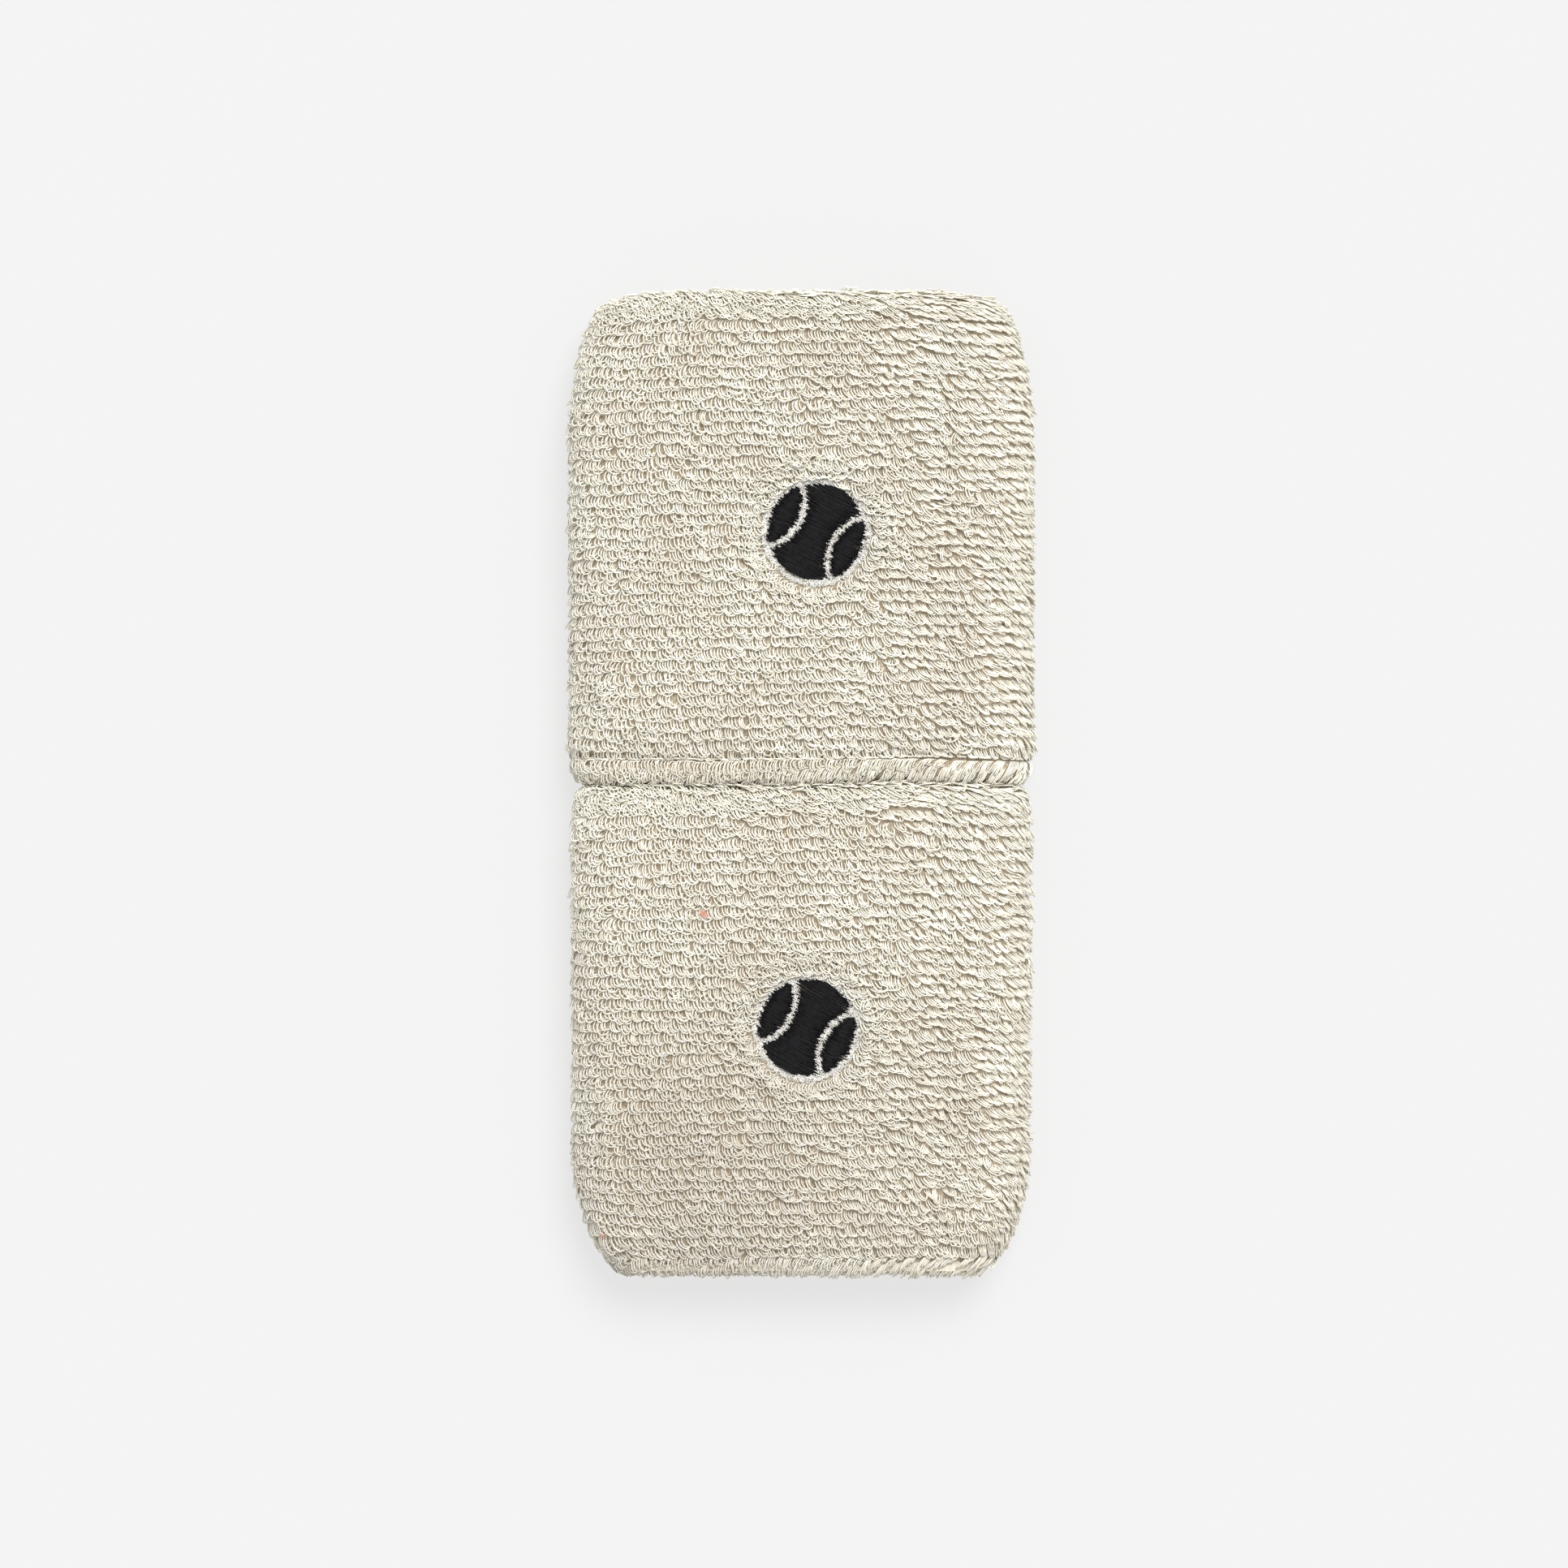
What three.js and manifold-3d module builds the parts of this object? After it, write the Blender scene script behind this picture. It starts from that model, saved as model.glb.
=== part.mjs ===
// A pair of terry sweat wristbands, lying flat and end to end. Millimetres, +Z up.
// X runs across a band, Y runs along the forearm, and the origin is on the surface
// that the pair lies on, under the pair's middle.
//
// Each band is one terry tube, folded back into itself so that its wall is double.
// The fold is at its +Y end. At its -Y end the two layers are closed by a seam, which
// pulls in a groove and leaves a rolled hem. Elastic yarns and the embroidery's backing
// lie between the layers, and the embroidered emblem is sunk in the pile on top.
import * as THREE from "three";
import { mergeVertices } from "three/addons/utils/BufferGeometryUtils.js";
import Module from "manifold-3d";

const wasm = await Module();
wasm.setup();

// ---------------------------------------------------------------- driving sizes
const bandWidth = 78; // across the flat band
const lowerNarrower = 1; // the lower band has relaxed to a little less
const bandLength = 81.2; // hem to fold
const bandHeight = 17; // both walls and the wrist opening between them
const outerLayer = 2.1; // terry on the outside: ground and pile
const innerLayer = 2; // terry against the skin
const clearance = 0.3; // between touching pieces
const bandGap = 0.6; // between the two bands

// where the outline draws in towards an end of a band: how far, and over what length
const foldTaper = { by: 5, over: 26 }; // at the pair's +Y end
const hemTaper = { by: 7, over: 21 }; // at the pair's -Y end
const meetingTaper = { by: 1.1, over: 9 }; // where the bands meet

// hem and closing seam
const grooveAt = 3.6; // groove's distance from the hem's edge
const grooveDepth = 0.9;
const hemLength = 5.6; // from the edge to where the wall is plain again
const seamThickness = 0.5;
const seamWidth = 3;

// elastic yarns
const elasticThickness = 0.45;
const elasticWidth = 1;
const elasticCount = 9;
const elasticFromEnd = 9; // first and last yarn, from the band's ends

// embroidery
const emblemRadius = 8;
const underlayBorder = 1; // underlay that shows round the emblem
const underlayThickness = 0.35;
const satinThickness = 0.5;
const backingSide = 23;
const backingThickness = 0.35;
const seamLineWidth = 0.8; // pale line between two satin fields
const seamLineRadius = 7.4; // of the two curved lines
const seamLineCentre = 10.6; // their centres, either side of the emblem's middle
const emblemTurn = THREE.MathUtils.degToRad(-28);

// round and flat resolution
const tubeSegments = 28;
const ringSegments = 20;
const discSegments = 36;
const lengthSpans = 9;
const foldSpans = 6;

// ---------------------------------------------------------------- worked-out sizes
const endRadius = bandHeight / 2;
const layerGap = backingThickness + elasticThickness + 3 * clearance;
const wall = outerLayer + layerGap + innerLayer;
const seamGap = seamThickness + 2 * clearance; // the layers draw together at the hem
const seamTop = outerLayer + (layerGap - seamGap) / 2;
const underlayRadius = emblemRadius + underlayBorder;
const underlayTop = satinThickness + clearance;
const pocketDepth = underlayTop + underlayThickness + clearance;
const backingTop = outerLayer + clearance;
const elasticTop = backingTop + backingThickness + clearance;

// ---------------------------------------------------------------- solids
const toSolid = (geometry) => {
  const bare = geometry.clone();
  bare.deleteAttribute("normal");
  bare.deleteAttribute("uv");
  const merged = mergeVertices(bare, 1e-4);
  return new wasm.Manifold(
    new wasm.Mesh({
      numProp: 3,
      vertProperties: Float32Array.from(merged.attributes.position.array),
      triVerts: Uint32Array.from(merged.index.array),
    }),
  );
};

const toGeometry = (solid) => {
  const mesh = solid.getMesh();
  const geometry = new THREE.BufferGeometry();
  geometry.setAttribute("position", new THREE.BufferAttribute(mesh.vertProperties, 3));
  geometry.setIndex(new THREE.BufferAttribute(mesh.triVerts, 1));
  geometry.computeVertexNormals();
  return geometry;
};

// Half a band's width, y millimetres from its hem, from the taper at each end.
const halfWidth = (band, y) => {
  const drawnIn = (taper, distance) => {
    const left = Math.max(0, 1 - distance / taper.over);
    return taper.by * left * left;
  };
  return band.width / 2 - drawnIn(band.hemTaper, y) - drawnIn(band.foldTaper, bandLength - y);
};

// Turns a closed profile into a round tube about Y and pulls its two halves apart,
// which leaves the flat band: round at both sides and straight between them.
const flatTube = (band, profile, segments) => {
  const geometry = new THREE.LatheGeometry(profile, segments, Math.PI / segments);
  const toFullSize = 1 / Math.cos(Math.PI / segments); // from mid-facet to the true radius
  geometry.scale(toFullSize, 1, toFullSize);
  const position = geometry.attributes.position;
  for (let i = 0; i < position.count; i += 1) {
    const straight = halfWidth(band, position.getY(i)) - endRadius;
    position.setX(i, position.getX(i) + Math.sign(position.getX(i)) * straight);
  }
  return geometry.translate(0, band.hemY, endRadius);
};

// A point of a profile: so deep under the band's outside, y from its hem.
const at = (depth, y) => new THREE.Vector2(endRadius - depth, y);

const evenly = (from, to, spans) =>
  Array.from({ length: spans + 1 }, (_, i) => from + ((to - from) * i) / spans);

// The folded double wall, closed at the fold and open between its layers at the hem.
const wallProfile = () => {
  const foldRadius = wall / 2;
  const foldY = bandLength - foldRadius;
  const gapMiddle = outerLayer + layerGap / 2;
  const innerTop = outerLayer + layerGap;
  const stations = evenly(hemLength, foldY, lengthSpans);
  const back = [...stations].reverse();
  const half = (radius, middle, spans) =>
    evenly(0, Math.PI, spans)
      .slice(1, -1)
      .map((turn) => at(middle - radius * Math.cos(turn), foldY + radius * Math.sin(turn)));

  const hemOutside = [
    at(seamTop, 0.5),
    at(seamTop - 0.6, 0),
    at(0.7, 0.15),
    at(0.1, 0.9),
    at(0, grooveAt / 2),
    at(grooveDepth / 4, grooveAt - 0.8),
    at(grooveDepth, grooveAt),
    at(grooveDepth / 4, grooveAt + 0.8),
  ];
  const hemInside = [at(wall, 1.2), at(wall - 0.3, 0.35), at(wall - 1, 0)];
  const points = [
    ...hemOutside,
    ...stations.map((y) => at(0, y)),
    ...half(foldRadius, foldRadius, foldSpans),
    ...back.map((y) => at(wall, y)),
    ...hemInside,
    at(seamTop + seamGap, 0.4),
    at(seamTop + seamGap, hemLength - 1),
    ...stations.map((y) => at(innerTop, y)),
    ...half(layerGap / 2, gapMiddle, foldSpans / 2).reverse(),
    ...back.map((y) => at(outerLayer, y)),
    at(seamTop, hemLength - 1),
  ];
  return [...points, points[0]];
};

// A ring that runs round the band inside its wall, with a rectangular section.
const ringBetweenLayers = (band, top, thickness, middleY, width) => {
  const near = middleY - width / 2;
  const far = middleY + width / 2;
  const corners = [at(top, near), at(top, far), at(top + thickness, far), at(top + thickness, near)];
  return flatTube(band, [...corners, corners[0]], ringSegments);
};

// A round plate on the band's top face: so deep under it, centred on the emblem.
const disc = (radius, top, thickness, offsetX = 0) => {
  const plate = new THREE.CylinderGeometry(radius, radius, thickness, discSegments);
  plate.rotateX(Math.PI / 2);
  plate.translate(offsetX, 0, bandHeight - top - thickness / 2);
  return plate;
};

const onEmblem = (geometry, band) => {
  geometry.rotateZ(emblemTurn);
  geometry.translate(band.emblem.x, band.hemY + band.emblem.y, 0);
  return geometry;
};

const terryTube = (band) => {
  const pocket = onEmblem(disc(underlayRadius + clearance, -1, pocketDepth + 1), band);
  const tube = toSolid(flatTube(band, wallProfile(), tubeSegments));
  return toGeometry(tube.subtract(toSolid(pocket)));
};

// A ball with two curved seams: three fields of satin stitches with pale lines between.
const satinField = (side, band) => {
  const ball = toSolid(disc(emblemRadius, 0, satinThickness));
  const lobe = (radius, offset) => toSolid(disc(radius, -1, satinThickness + 2, offset));
  const field =
    side === 0
      ? ball
          .subtract(lobe(seamLineRadius + seamLineWidth / 2, -seamLineCentre))
          .subtract(lobe(seamLineRadius + seamLineWidth / 2, seamLineCentre))
      : ball.intersect(lobe(seamLineRadius - seamLineWidth / 2, side * seamLineCentre));
  return onEmblem(toGeometry(field), band);
};

const embroideryBacking = (band) => {
  const sheet = new THREE.BoxGeometry(backingSide, backingSide, backingThickness);
  sheet.translate(0, 0, bandHeight - backingTop - backingThickness / 2);
  sheet.translate(band.emblem.x, band.hemY + band.emblem.y, 0);
  return sheet;
};

// ---------------------------------------------------------------- materials
const cloth = (color, roughness) =>
  new THREE.MeshStandardMaterial({ color, roughness, metalness: 0 });

const finishes = {
  terry: () => cloth(0xe0d9c4, 0.95),
  seamThread: () => cloth(0xd8cfb8, 0.8),
  elastic: () => cloth(0xefece2, 0.75),
  backing: () => cloth(0xf4f3ee, 0.9),
  underlay: () => cloth(0xf1efe6, 0.85),
  satin: () => cloth(0x17151a, 0.5),
};

// ---------------------------------------------------------------- one band
const makeBand = (band) => {
  const group = new THREE.Group();
  const add = (name, geometry, material) => {
    const mesh = new THREE.Mesh(geometry, material);
    mesh.name = `${band.name}_${name}`;
    group.add(mesh);
  };

  add("terry_tube", terryTube(band), finishes.terry());

  const seamMiddle = grooveAt - seamWidth / 4;
  const seamDepth = seamTop + clearance;
  add(
    "closing_seam_thread",
    ringBetweenLayers(band, seamDepth, seamThickness, seamMiddle, seamWidth),
    finishes.seamThread(),
  );

  const elasticPlaces = evenly(elasticFromEnd, bandLength - elasticFromEnd, elasticCount - 1);
  elasticPlaces.forEach((y, i) =>
    add(
      `elastic_yarn_${i + 1}`,
      ringBetweenLayers(band, elasticTop, elasticThickness, y, elasticWidth),
      finishes.elastic(),
    ),
  );

  add("embroidery_backing", embroideryBacking(band), finishes.backing());
  const underlay = onEmblem(disc(underlayRadius, underlayTop, underlayThickness), band);
  add("underlay_stitching", underlay, finishes.underlay());
  add("satin_field_left", satinField(-1, band), finishes.satin());
  add("satin_field_middle", satinField(0, band), finishes.satin());
  add("satin_field_right", satinField(1, band), finishes.satin());
  return group;
};

// ---------------------------------------------------------------- the pair
const bands = [
  {
    name: "upper",
    width: bandWidth,
    hemY: bandGap / 2,
    hemTaper: meetingTaper,
    foldTaper,
    emblem: { x: 2.4, y: bandLength / 2 + 0.7 },
  },
  {
    name: "lower",
    width: bandWidth - lowerNarrower,
    hemY: -bandGap / 2 - bandLength,
    hemTaper,
    foldTaper: meetingTaper,
    emblem: { x: 0.9, y: bandLength / 2 + 1 },
  },
];

const pair = new THREE.Group();
bands.forEach((band) => pair.add(makeBand(band)));

export default pair;
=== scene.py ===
"""The looks of a pair of terry sweat wristbands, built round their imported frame.

Lengths are in metres, in the frame's axes: X across the bands, Y along the forearm and Z up.
Each band is a knitted ground cloth, folded into a double wall and puffed up by a cloth
simulation. The ground carries rows of looped pile, and an emblem embroidered in satin stitch.
"""

import functools
import math

import bmesh
import bpy
import numpy as np
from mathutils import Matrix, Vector


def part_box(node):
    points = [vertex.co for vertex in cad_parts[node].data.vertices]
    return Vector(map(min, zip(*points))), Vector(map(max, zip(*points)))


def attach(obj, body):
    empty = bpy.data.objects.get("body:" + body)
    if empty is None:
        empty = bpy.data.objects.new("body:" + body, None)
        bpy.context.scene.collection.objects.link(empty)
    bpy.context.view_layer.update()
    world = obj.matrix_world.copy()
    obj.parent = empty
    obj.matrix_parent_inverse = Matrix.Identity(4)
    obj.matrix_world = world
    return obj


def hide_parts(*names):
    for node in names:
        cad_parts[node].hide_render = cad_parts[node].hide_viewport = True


bl_info = {
    "name": "Terry Wristband Pair",
    "version": (1, 0, 0),
    "blender": (4, 5, 0),
    "location": "3D View > Sidebar > Wristbands",
    "description": "Builds the cloth, pile and embroidery of a pair of terry wristbands",
    "category": "Add Mesh",
}

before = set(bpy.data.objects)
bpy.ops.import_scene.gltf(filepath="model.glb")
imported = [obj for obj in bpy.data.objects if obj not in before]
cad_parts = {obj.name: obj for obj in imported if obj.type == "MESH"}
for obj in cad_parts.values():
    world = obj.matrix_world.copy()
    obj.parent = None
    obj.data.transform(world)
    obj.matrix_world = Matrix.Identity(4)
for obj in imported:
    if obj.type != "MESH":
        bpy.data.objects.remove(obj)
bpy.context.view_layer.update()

# ------------------------------------------------------------------ sizes from the frame
MM = 0.001
BANDS = ("upper", "lower")
TUBE = {band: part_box(f"{band}_terry_tube") for band in BANDS}
EMBLEM = {band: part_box(f"{band}_underlay_stitching") for band in BANDS}
BAND_HEIGHT = TUBE["upper"][1].z
END_RADIUS = BAND_HEIGHT / 2
WALL = 5.8 * MM  # both terry layers and what lies between them

# where the outline draws in towards a band's ends: how far, and over what length
TAPER = {
    "upper": {"hem": (1.6 * MM, 9 * MM), "fold": (5 * MM, 26 * MM)},
    "lower": {"hem": (7 * MM, 21 * MM), "fold": (1.1 * MM, 9 * MM)},
}
CREASE_AT = 23 * MM
CORNER_DROP = 4.0 * MM  # how far the upper band's free corners are drawn back along it
GROOVE_AT = 4.0 * MM
GROOVE_DEPTH = {"upper": 0.9 * MM, "lower": 0.3 * MM}
LIP_FROM_GROOVE = {"upper": -0.5 * MM, "lower": 0.15 * MM}  # where the lip's loops are rooted
GROOVE_HALF_WIDTH = 0.75 * MM
LIP_DROP = {"upper": 0.4 * MM, "lower": 2.1 * MM}  # how much lower the hem's edge lies
LIP_SLOPE = 7 * MM  # the length of cloth over which it comes down
PAINTED_SHADE_PATCH = (-12 * MM, -70 * MM, BAND_HEIGHT)  # the centre of a painted shade that greys the pile a little, on the lower band's left
PAINTED_SHADE_REACH = 58 * MM

# columns of the ground cloth round a band, and the length of its cells along the band
FLAT_COLUMNS = 36
SIDE_COLUMNS = 14
COLUMNS = 2 * (FLAT_COLUMNS + SIDE_COLUMNS)
CELL = 1.45 * MM
HEM_CELL = 0.5 * MM
BEND_POINTS = 12
FREE_END_PILE = 0.85 * MM  # the pile is flatter on the ends of a band
MEETING_END_PILE = 0.15 * MM  # and flatter still where the two bands press on each other
CLOTH_THICKNESS = 0.8 * MM
FLOOR_CLEARANCE = 0.75  # the least height of the ground over the floor, in pile heights

# the simulation that puffs the cloth up
SOLVER_SCALE = 10  # the solver is steadier on a larger piece
PRESSURE = 4
STRETCH_STIFFNESS = 12
BENDING_STIFFNESS = 0.4
SOLVER_QUALITY = 6
SOLVER_STEPS = 18
GROOVE_HOLD = 1.5  # how wide the seam holds the cloth, in half widths of its groove
EMBLEM_HOLD = 1.6  # how far out the embroidery holds it, in emblem radii

# what is added to the cloth once it has settled
SHOULDER = 4 * MM  # the height over which the sides pass into the upper side
WAVE_HEIGHT = 0.35 * MM
WAVE_SEED = 3
CREASE_DEPTH = 0.45 * MM
CREASE_HALF_WIDTH = 1.5 * MM
BOW = 0.6 * MM  # how far the line where the bands meet bows towards the upper band
BOW_AT = 19 * MM
BOW_HALF_WIDTH = 11 * MM
BOW_BACK = 0.2 * MM  # how far the rest of that line lies the other way
BOW_REACH = 9 * MM
CORNER_FROM = 18 * MM  # the corners start to draw back here, off the band's middle line
CORNER_WIDTH = 20 * MM
CORNER_REACH = 12 * MM


# ------------------------------------------------------------------ settings
class ClothSettings(bpy.types.PropertyGroup):
    pile_height: bpy.props.FloatProperty(
        name="Pile height", description="Ground cloth to loop tips", default=1.15 * MM,
        unit="LENGTH",
    )
    row_pitch: bpy.props.FloatProperty(
        name="Row pitch", description="Distance between rows of loops", default=1.87 * MM,
        unit="LENGTH",
    )
    loop_pitch: bpy.props.FloatProperty(
        name="Loop pitch", description="Distance between loops along a row",
        default=0.84 * MM, unit="LENGTH",
    )
    strand_radius: bpy.props.FloatProperty(
        name="Strand radius", description="Radius of one ply of the pile yarn",
        default=0.128 * MM, unit="LENGTH",
    )
    puff: bpy.props.FloatProperty(
        name="Puff", description="The most that the simulation may move the ground cloth",
        default=0.9 * MM, unit="LENGTH",
    )
    yarn_colour: bpy.props.FloatVectorProperty(
        name="Yarn colour", description="Colour of the pile", size=3, subtype="COLOR",
        default=(0.97, 0.95, 0.855), min=0, max=1,
    )
    # the knitted ground's tan is partly its own tone and partly painted shade for the gaps between
    # the loops
    ground_colour_and_painted_shade: bpy.props.FloatVectorProperty(
        name="Ground colour", description="Colour of the knitted ground", size=3,
        subtype="COLOR", default=(0.6, 0.52, 0.41), min=0, max=1,
    )


class StageSettings(bpy.types.PropertyGroup):
    floor_colour: bpy.props.FloatVectorProperty(
        name="Floor colour", description="Colour of the floor", size=3, subtype="COLOR",
        default=(0.15, 0.15, 0.15), min=0, max=1,
    )
    floor_glow: bpy.props.FloatProperty(
        name="Floor glow", description="Light that the translucent floor passes from below",
        default=0.69,
    )
    sky_strength: bpy.props.FloatProperty(
        name="Sky strength", description="Strength of the even light from all round",
        default=0.7,
    )
    key_strength: bpy.props.FloatProperty(
        name="Key strength", description="Strength of the soft key light", default=2.75,
    )
    camera_height: bpy.props.FloatProperty(
        name="Camera height", description="Height of the camera over the floor",
        default=1.1, unit="LENGTH",
    )
    frame_width: bpy.props.FloatProperty(
        name="Frame width", description="Width that the camera sees at the bands' top",
        default=0.2576, unit="LENGTH",
    )


# ------------------------------------------------------------------ the ground cloth
def drawn_in(taper, distance):
    """How far the outline is drawn in, at this distance from a band's end."""
    most, length = taper
    left = np.clip(1 - distance / length, 0, 1)
    return most * left * left


def meridian(band, depth_of_ground):
    """The way along the folded wall, from inside the hem, over the outside and the fold, and
    back along the inside: depths under the outer surface, distances from the hem, and the
    first and last place on the outer wall."""
    low, high = TUBE[band]
    length = high.y - low.y
    near, far = depth_of_ground, WALL - depth_of_ground
    middle, bend = (near + far) / 2, (far - near) / 2
    lip_middle, lip_bend = middle + LIP_DROP[band] / 2, bend - LIP_DROP[band] / 2
    upper = band == "upper"
    hem = lip_bend + (MEETING_END_PILE if upper else FREE_END_PILE)
    fold = length - bend - (FREE_END_PILE if upper else MEETING_END_PILE)
    turns = np.linspace(0, math.pi, BEND_POINTS)
    hem_zone = np.arange(hem, GROOVE_AT + 3 * GROOVE_HALF_WIDTH, HEM_CELL)
    plain = np.linspace(hem_zone[-1], fold, round((fold - hem_zone[-1]) / CELL))
    along = np.concatenate([hem_zone, plain[1:]])
    groove = GROOVE_DEPTH[band] * np.exp(-(((along - GROOVE_AT) / GROOVE_HALF_WIDTH) ** 2))
    slope = LIP_DROP[band] * np.clip(1 - (along - hem) / LIP_SLOPE, 0, 1) ** 2
    inside = np.linspace(fold, hem, len(along) // 2)[1:-1]
    depth = np.concatenate([
        lip_middle + lip_bend * np.cos(turns)[:-1],
        near + groove + slope,
        middle - bend * np.cos(turns)[1:],
        np.full(len(inside), far),
    ])
    distance = np.concatenate([
        hem - lip_bend * np.sin(turns)[:-1],
        along,
        fold + bend * np.sin(turns)[1:],
        inside,
    ])
    outer_wall = (BEND_POINTS - 1, BEND_POINTS + len(along) - 2)
    return depth, distance, outer_wall


def wall_grid(band, depth_of_ground):
    """Points of the folded wall before it is puffed up: columns round the band by places
    along the meridian. Both ways close on themselves."""
    low, high = TUBE[band]
    depth, distance, _ = meridian(band, depth_of_ground)
    length, half = high.y - low.y, (high.x - low.x) / 2
    drawn = drawn_in(TAPER[band]["hem"], distance)
    drawn = drawn + drawn_in(TAPER[band]["fold"], length - distance)
    straight = half - drawn - END_RADIUS
    radius = END_RADIUS - depth
    flat = np.linspace(-1, 1, FLAT_COLUMNS, endpoint=False)
    side = np.linspace(0, math.pi, SIDE_COLUMNS, endpoint=False)
    level = np.zeros(SIDE_COLUMNS)
    # top from left to right, right side down, bottom from right to left, left side up
    centre = np.concatenate([flat, level + 1, -flat, level - 1])
    across = np.concatenate([flat * 0, np.sin(side), flat * 0, -np.sin(side)])
    up = np.concatenate([flat * 0 + 1, np.cos(side), flat * 0 - 1, -np.cos(side)])
    x = centre[:, None] * straight + across[:, None] * radius
    z = END_RADIUS + up[:, None] * radius
    y = np.broadcast_to(low.y + distance, x.shape)
    return np.stack([x, y, z], -1)


def closed_mesh(name, points):
    """A mesh over a grid of points that closes on itself both ways, and each vertex's cell."""
    columns, places = points.shape[:2]
    bm = bmesh.new()
    cell = bm.verts.layers.int.new("cell")
    made = bmesh.ops.create_grid(bm, x_segments=columns, y_segments=places, size=1)["verts"]
    for i, vertex in enumerate(made):
        place, column = divmod(i, columns + 1)
        vertex[cell] = column % columns * places + place % places
        vertex.co = points[column % columns, place % places]
    bmesh.ops.remove_doubles(bm, verts=bm.verts, dist=1e-7)
    bmesh.ops.recalc_face_normals(bm, faces=bm.faces)
    mesh = bpy.data.meshes.new(name)
    bm.to_mesh(mesh)
    cells = [vertex[cell] for vertex in bm.verts]
    bm.free()
    return mesh, np.array(cells)


def held_places(band, points):
    """How firmly each point is held, by the seam's groove and by the embroidery."""
    low, high = EMBLEM[band]
    centre, radius = (low + high) / 2, (high.x - low.x) / 2
    distance = points[..., 1] - TUBE[band][0].y
    outside = points[..., 2] > END_RADIUS
    groove = np.exp(-(((distance - GROOVE_AT) / (GROOVE_HOLD * GROOVE_HALF_WIDTH)) ** 2))
    from_emblem = np.hypot(points[..., 0] - centre.x, points[..., 1] - centre.y)
    emblem = np.clip(EMBLEM_HOLD - from_emblem / radius, 0, 1) * outside
    return np.clip(np.maximum(groove, emblem), 0, 1)


def puffed(band, points, most):
    """The wall after a cloth simulation has blown it up a little, held at its seam and
    embroidery. The simulation moves no point further than most, and the wall is then scaled
    back to the length and width that it had."""
    mesh, cells = closed_mesh(f"{band}_puffing", points * SOLVER_SCALE)
    piece = bpy.data.objects.new(f"{band}_puffing", mesh)
    scene = bpy.context.scene
    scene.collection.objects.link(piece)
    group = piece.vertex_groups.new(name="held")
    weights = held_places(band, points).reshape(-1)[cells]
    for i, weight in enumerate(weights):
        group.add([i], float(weight), "REPLACE")
    cloth = piece.modifiers.new("cloth", "CLOTH")
    cloth.settings.vertex_group_mass = "held"
    cloth.settings.use_pressure = True
    cloth.settings.uniform_pressure_force = PRESSURE
    cloth.settings.tension_stiffness = STRETCH_STIFFNESS
    cloth.settings.compression_stiffness = STRETCH_STIFFNESS
    cloth.settings.bending_stiffness = BENDING_STIFFNESS
    cloth.settings.quality = SOLVER_QUALITY
    cloth.settings.effector_weights.gravity = 0
    cloth.collision_settings.use_collision = False
    for step in range(1, SOLVER_STEPS + 1):
        scene.frame_set(step)
    solved = piece.evaluated_get(bpy.context.evaluated_depsgraph_get()).data
    after = np.zeros(len(solved.vertices) * 3)
    solved.vertices.foreach_get("co", after)
    scene.frame_set(1)
    bpy.data.objects.remove(piece)
    bpy.data.meshes.remove(mesh)
    moved = np.zeros((points.shape[0] * points.shape[1], 3))
    moved[cells] = after.reshape(-1, 3) / SOLVER_SCALE
    moved = moved.reshape(points.shape) - points
    distance = np.linalg.norm(moved, axis=-1, keepdims=True)
    blown = points + moved * np.minimum(1, most / np.maximum(distance, 1e-9))
    for axis in (0, 1):
        blown[..., axis] = spanned(blown[..., axis], points[..., axis])
    return blown


def spanned(values, span):
    """These values, stretched so that they run as far as the ones in span."""
    share = (values - values.min()) / (values.max() - values.min())
    return span.min() + share * (span.max() - span.min())


@functools.lru_cache
def ground_grid(band):
    """The settled ground cloth of a band, as a grid of points just clear of the floor."""
    cloth = bpy.context.scene.wristband_cloth
    points = wall_grid(band, cloth.pile_height)
    points = puffed(band, points, cloth.puff)
    points[..., 2] = np.maximum(points[..., 2], cloth.pile_height * FLOOR_CLEARANCE)
    return points + relief(band, points)


def relief(band, points):
    """Slow waves in the upper side, the crease where the band was once folded flat, the
    drawn-back corners, and the bow of the line where the bands meet."""
    x, y = points[..., 0], points[..., 1]
    upper_side = np.clip((points[..., 2] - END_RADIUS) / SHOULDER, 0, 1)
    loose = upper_side * (1 - held_places(band, points))
    crease = CREASE_DEPTH * np.exp(-(((x - CREASE_AT) / CREASE_HALF_WIDTH) ** 2))
    waves = WAVE_HEIGHT * wander(x, y, WAVE_SEED) - crease
    bow = BOW * np.exp(-(((x - BOW_AT) / BOW_HALF_WIDTH) ** 2)) - BOW_BACK
    near_meeting = np.exp(-((y / BOW_REACH) ** 2))
    corner = np.clip((np.abs(x) - CORNER_FROM) / CORNER_WIDTH, 0, 1) ** 2
    near_top = np.clip(1 - (TUBE["upper"][1].y - y) / CORNER_REACH, 0, 1) ** 2
    moved = np.zeros(points.shape)
    moved[..., 1] = bow * near_meeting - CORNER_DROP * corner * near_top
    moved[..., 2] = waves * loose
    return moved


ROW_SAMPLES = 500
ROW_UNEVENNESS = 0.2  # how far a loop may stray along its row, in pitches


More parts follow.
